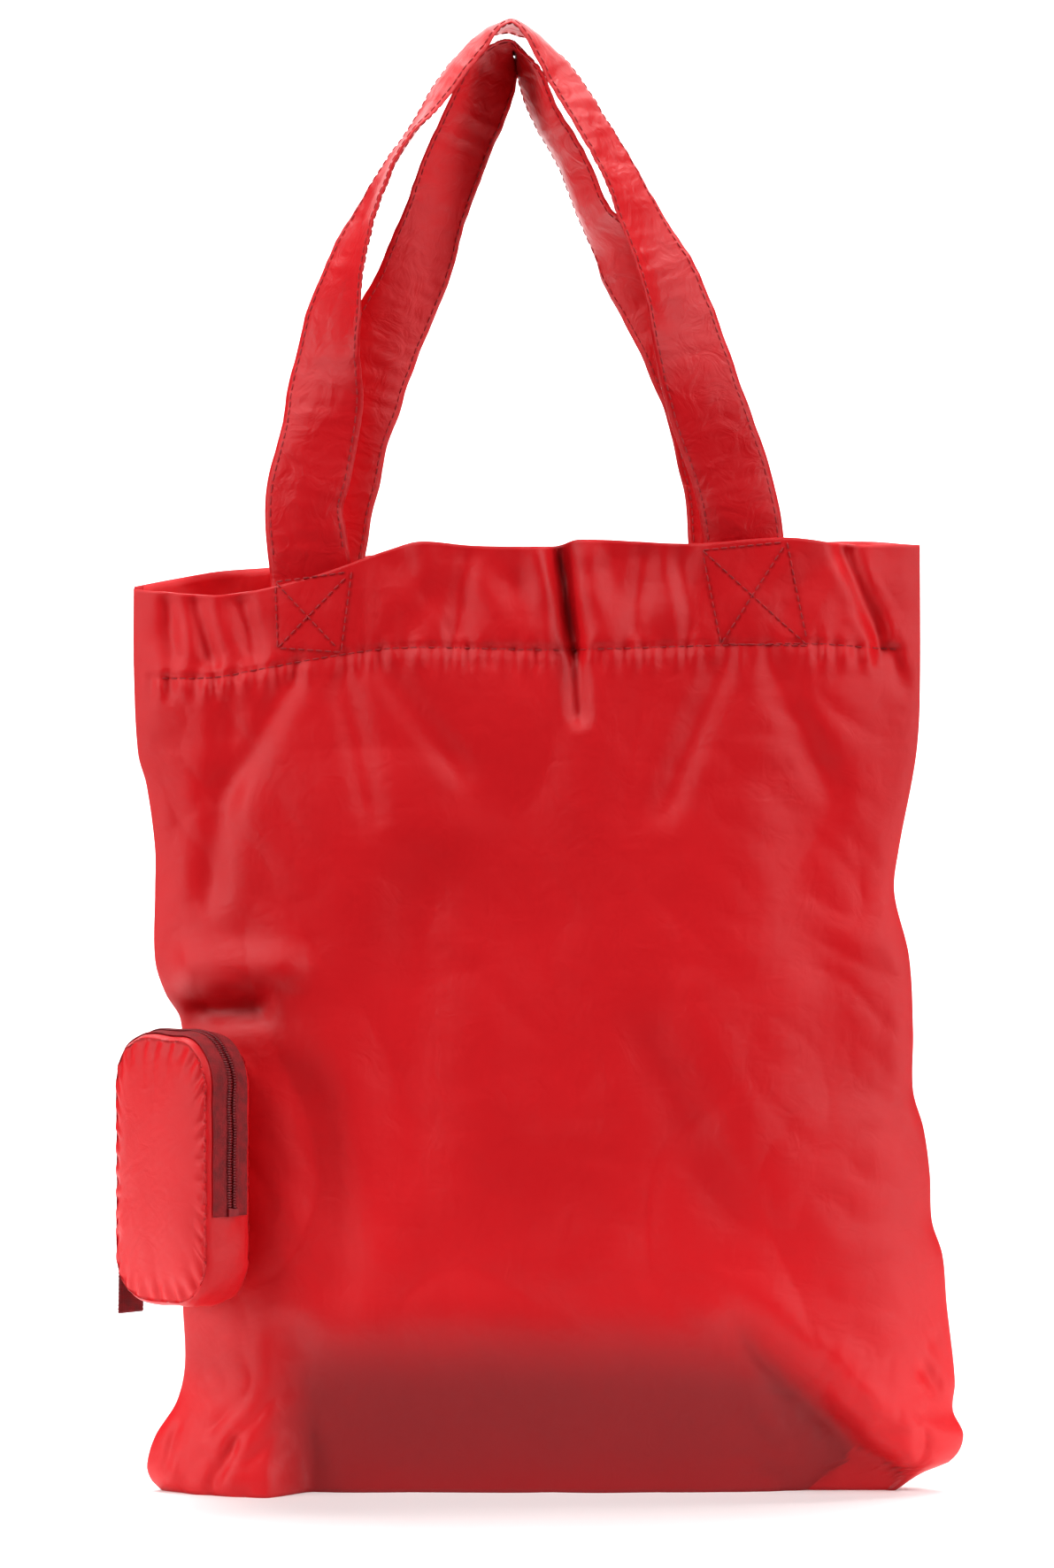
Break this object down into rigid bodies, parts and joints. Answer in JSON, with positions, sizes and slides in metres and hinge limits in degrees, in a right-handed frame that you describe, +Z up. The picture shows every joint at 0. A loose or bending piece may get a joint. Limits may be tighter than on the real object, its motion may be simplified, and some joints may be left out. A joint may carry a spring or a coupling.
{
  "type": "foldable tote bag",
  "caption": "Light foldable shopping tote with two long strap handles, a boxed base and a small zipped storage pouch hanging at one side seam.",
  "frame": {"origin": "middle of the flat base, on the surface that the bag stands on", "axes": "+Z up, front of the bag faces -Y, the pouch is on the -X side"},
  "size_m": [0.3987, 0.0966, 0.6928],
  "materials": {
    "cloth": "satin red ripstop nylon",
    "strap": "folded satin red nylon",
    "thread": "red polyester thread",
    "zip_tape": "dark red woven tape",
    "zip_coil": "dark red nylon coil",
    "zip_metal": "dark red enamel",
    "webbing": "dark red grosgrain"
  },
  "bodies": {
    "bag": {"front_panel": "cloth", "back_panel": "cloth", "base_panel": "cloth", "base_seam": "cloth", "left_seam": "cloth", "right_seam": "cloth", "front_hem": "cloth", "back_hem": "cloth", "front_hem_stitch": "thread", "back_hem_stitch": "thread", "pouch_seam_strip": "cloth", "front_handle_end_left": "strap", "front_handle_end_right": "strap", "back_handle_end_left": "strap", "back_handle_end_right": "strap", "front_box_stitch_left": "thread", "front_box_stitch_right": "thread", "back_box_stitch_left": "thread", "back_box_stitch_right": "thread"},
    "front_handle": {"front_handle_strap": "strap"},
    "back_handle": {"back_handle_strap": "strap"},
    "pouch": {"pouch_front": "cloth", "pouch_back": "cloth", "pouch_wall": "cloth", "zip_tape_front": "zip_tape", "zip_tape_back": "zip_tape", "zip_coil_front": "zip_coil", "zip_coil_back": "zip_coil", "zip_top_stop": "zip_metal", "zip_bottom_stop": "zip_metal", "tab_anchor": "webbing"},
    "slider": {"zip_slider": "zip_metal"},
    "pull": {"zip_pull": "zip_metal"},
    "tab": {"webbing_tab": "webbing"}
  },
  "joints": [
    {"name": "front_handle_swing", "type": "hinge", "parent": "bag", "child": "front_handle", "pos_m": [-0.1115, -0.015, 0.446], "axis": [0.9982, 0, 0.06], "range_deg": [0, 125]},
    {"name": "back_handle_swing", "type": "hinge", "parent": "bag", "child": "back_handle", "pos_m": [-0.1115, 0.015, 0.446], "axis": [0.9982, 0, 0.06], "range_deg": [-125, 0]},
    {"name": "pouch_swing", "type": "hinge", "parent": "bag", "child": "pouch", "pos_m": [-0.17863, -0.00172, 0.157], "axis": [0, 0, 1], "range_deg": [-55, 0]},
    {"name": "zip_slide", "type": "slide", "parent": "pouch", "child": "slider", "axis": [0, 0, 1], "range_m": [0, 0.05]},
    {"name": "pull_swing", "type": "hinge", "parent": "slider", "child": "pull", "pos_m": [-0.20157, 0.00107, 0.138], "axis": [0.7071, 0.7071, 0], "range_deg": [0, 140]},
    {"name": "tab_swing", "type": "hinge", "parent": "pouch", "child": "tab", "pos_m": [-0.19903, -0.00147, 0.1172], "axis": [0.7071, 0.7071, 0], "range_deg": [0, 100]}
  ]
}
